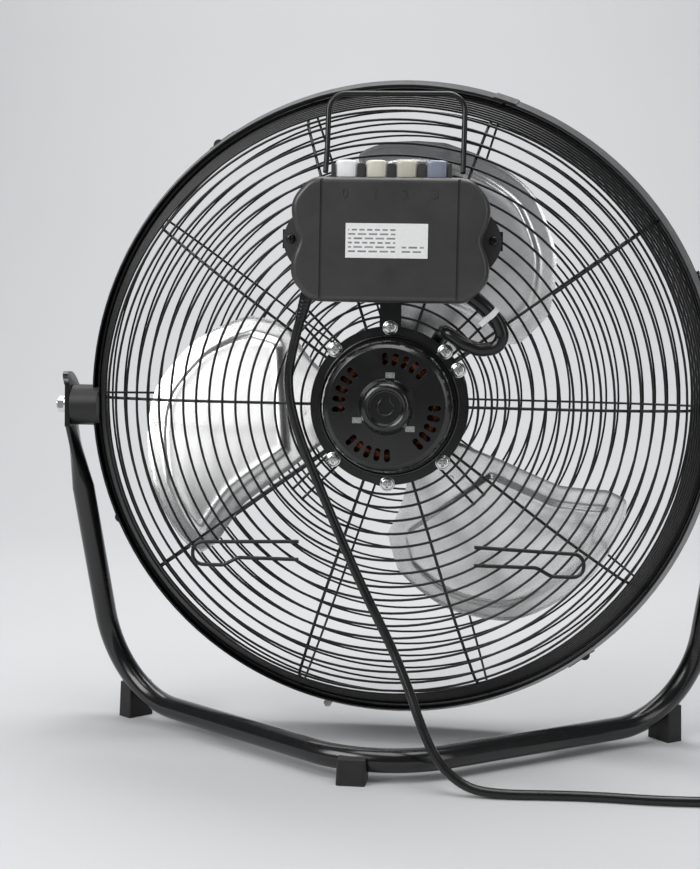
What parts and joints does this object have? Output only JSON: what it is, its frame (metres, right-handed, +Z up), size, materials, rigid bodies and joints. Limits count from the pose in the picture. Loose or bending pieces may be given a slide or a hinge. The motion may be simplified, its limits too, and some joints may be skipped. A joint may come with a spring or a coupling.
{
  "type": "floor fan",
  "caption": "High-velocity metal floor fan with a tilting caged head on a bent tube stand, with a motor, blades, push keys, a carrying handle and a mains cord.",
  "frame": {"origin": "on the floor, under the middle of the fan, without its cord", "axes": "+Z up, +X towards the left side of the fan as seen from behind, -Y the way the air leaves"},
  "size_m": [0.6649, 0.2352, 0.5615],
  "materials": {
    "stand_paint": "gloss black powder coat on steel tube",
    "foot_rubber": "matt black moulded rubber",
    "rim_paint": "satin black enamel on rolled sheet steel",
    "guard_paint": "semi-gloss black enamel on steel wire",
    "badge_metal": "satin black pressed disc",
    "zinc": "bright zinc plating",
    "clip_plastic": "matt black nylon",
    "clip_steel": "plain steel pin",
    "motor_paint": "gloss black enamel on pressed steel",
    "core_steel": "laminated electrical steel",
    "winding": "enamelled copper wire",
    "bright_steel": "ground steel",
    "blade_aluminium": "brushed aluminium sheet",
    "knob_plastic": "black plastic",
    "box_plastic": "fine-grained black plastic",
    "switch_plastic": "dark grey plastic",
    "screw_black": "black oxide screw",
    "label_paper": "matt white label",
    "sleeve_rubber": "glossy black sleeve",
    "tie_nylon": "translucent nylon",
    "cord_jacket": "black cable jacket with a soft gloss",
    "plug_rubber": "black moulded plug with plated pins",
    "key_white": "gloss white",
    "key_cream": "gloss cream",
    "key_beige": "gloss beige",
    "key_blue": "gloss blue-grey"
  },
  "bodies": {
    "stand": {"stand_tube": "stand_paint", "feet_front": "foot_rubber", "foot_rear": "foot_rubber", "power_cord": "cord_jacket", "cord_coil": "cord_jacket", "mains_plug": "plug_rubber"},
    "head": {"rim_band": "rim_paint", "band_joint_plate": "rim_paint", "guard_lock_screw": "zinc", "pivot_studs": "zinc", "pivot_spacers": "clip_plastic", "pivot_washers": "zinc", "pivot_nuts": "zinc", "guard_edge_rings": "guard_paint", "rear_guard_spokes": "guard_paint", "rear_guard_face_rings": "guard_paint", "rear_guard_side_rings": "guard_paint", "front_guard_spokes": "guard_paint", "front_guard_rings": "guard_paint", "front_guard_disc": "badge_metal", "carry_handle": "guard_paint", "cord_hooks": "guard_paint", "motor_mount_ring": "motor_paint", "motor_flange": "motor_paint", "motor_rear_cover": "motor_paint", "cover_tabs": "zinc", "motor_front_cover": "motor_paint", "stator_core": "core_steel", "stator_windings": "winding", "motor_bearings": "bright_steel", "motor_screws": "zinc", "box_bracket": "motor_paint", "box_base": "box_plastic", "box_cover": "box_plastic", "key_frame": "box_plastic", "switch_body": "switch_plastic", "run_capacitor": "switch_plastic", "box_screws": "screw_black", "rating_label": "label_paper", "clip_bases": "rim_paint", "clip_pins": "clip_steel", "motor_lead_sleeve": "sleeve_rubber", "cable_tie": "tie_nylon", "cord_relief": "sleeve_rubber"},
    "rotor": {"rotor_core": "core_steel", "motor_shaft": "bright_steel", "blade_hub": "bright_steel", "blade_1": "blade_aluminium", "blade_2": "blade_aluminium", "blade_3": "blade_aluminium", "blade_rivets": "blade_aluminium", "hub_nut": "knob_plastic"},
    "speed_key_0": {"key_0": "key_white"},
    "speed_key_1": {"key_1": "key_cream"},
    "speed_key_2": {"key_2": "key_beige"},
    "speed_key_3": {"key_3": "key_blue"},
    "clip_1": {"clip_lever_1": "clip_plastic"},
    "clip_2": {"clip_lever_2": "clip_plastic"},
    "clip_3": {"clip_lever_3": "clip_plastic"},
    "clip_4": {"clip_lever_4": "clip_plastic"}
  },
  "joints": [
    {"name": "head_tilt", "type": "hinge", "parent": "stand", "child": "head", "pos_m": [0, -0.0355, 0.2805], "axis": [1, 0, 0], "range_deg": [-90, 90], "deforming": ["power_cord"]},
    {"name": "fan_spin", "type": "hinge", "parent": "head", "child": "rotor", "pos_m": [0, -0.0155, 0.29], "axis": [0, 1, 0], "continuous": true},
    {"name": "key_0_press", "type": "slide", "parent": "head", "child": "speed_key_0", "axis": [0, 0, -1], "range_m": [0, 0.005], "stiffness_N_per_m": 400, "springref_m": -0.002},
    {"name": "key_1_press", "type": "slide", "parent": "head", "child": "speed_key_1", "axis": [0, 0, -1], "range_m": [0, 0.005], "stiffness_N_per_m": 400, "springref_m": -0.002},
    {"name": "key_2_press", "type": "slide", "parent": "head", "child": "speed_key_2", "axis": [0, 0, -1], "range_m": [0, 0.005], "stiffness_N_per_m": 400, "springref_m": -0.002},
    {"name": "key_3_press", "type": "slide", "parent": "head", "child": "speed_key_3", "axis": [0, 0, -1], "range_m": [0, 0.005], "stiffness_N_per_m": 400, "springref_m": -0.002},
    {"name": "clip_1_lift", "type": "hinge", "parent": "head", "child": "clip_1", "pos_m": [0.16111, -0.0765, 0.51175], "axis": [0.809, 0, -0.5878], "range_deg": [0, 75]},
    {"name": "clip_2_lift", "type": "hinge", "parent": "head", "child": "clip_2", "pos_m": [0.25231, -0.0765, 0.1829], "axis": [-0.3907, 0, -0.9205], "range_deg": [0, 75]},
    {"name": "clip_3_lift", "type": "hinge", "parent": "head", "child": "clip_3", "pos_m": [-0.16111, -0.0765, 0.06825], "axis": [-0.809, 0, 0.5878], "range_deg": [0, 75]},
    {"name": "clip_4_lift", "type": "hinge", "parent": "head", "child": "clip_4", "pos_m": [-0.25414, -0.0765, 0.39268], "axis": [0.3746, 0, 0.9272], "range_deg": [0, 75]}
  ]
}
